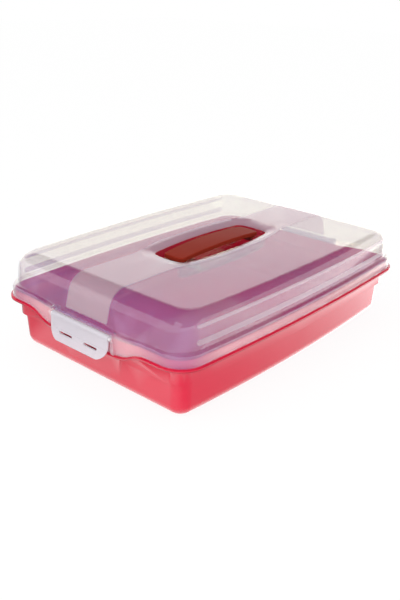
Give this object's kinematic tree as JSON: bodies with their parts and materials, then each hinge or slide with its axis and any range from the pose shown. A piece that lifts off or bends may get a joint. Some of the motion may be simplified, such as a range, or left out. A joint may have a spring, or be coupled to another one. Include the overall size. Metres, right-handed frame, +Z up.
{
  "type": "cake carrier",
  "caption": "Low rectangular cake carrier: a coloured tray, a clear domed lid that lifts off, a strap handle set in a well of the lid, and snap latches on the short ends.",
  "frame": {"origin": "middle of the underside, on the plane that the tray stands on", "axes": "+X along the carrier towards one latch, +Y across it, +Z up"},
  "size_m": [0.4712, 0.3276, 0.1246],
  "materials": {
    "tray": "glossy injection-moulded red polypropylene",
    "lid": "clear, slightly hazy injection-moulded polypropylene with a frosted band down the middle",
    "handle": "satin injection-moulded brownish red polypropylene",
    "latch": "glossy translucent white polypropylene"
  },
  "bodies": {
    "base": {"base_tray": "tray"},
    "lid": {"lid": "lid", "handle": "handle"},
    "latch_left": {"latch_left": "latch"},
    "latch_right": {"latch_right": "latch"}
  },
  "joints": [
    {"name": "lid_lift", "type": "slide", "parent": "base", "child": "lid", "axis": [0, 0, 1], "range_m": [0, 0.05]},
    {"name": "latch_left_swing", "type": "hinge", "parent": "lid", "child": "latch_left", "pos_m": [-0.2263, 0, 0.07675], "axis": [0, 1, 0], "range_deg": [0, 125]},
    {"name": "latch_right_swing", "type": "hinge", "parent": "lid", "child": "latch_right", "pos_m": [0.2263, 0, 0.07675], "axis": [0, -1, 0], "range_deg": [0, 125]}
  ],
  "couplings": [
    {"joint": "latch_left_swing", "follows": "lid_lift", "rad_per_m": 43.63},
    {"joint": "latch_right_swing", "follows": "lid_lift", "rad_per_m": 43.63}
  ]
}
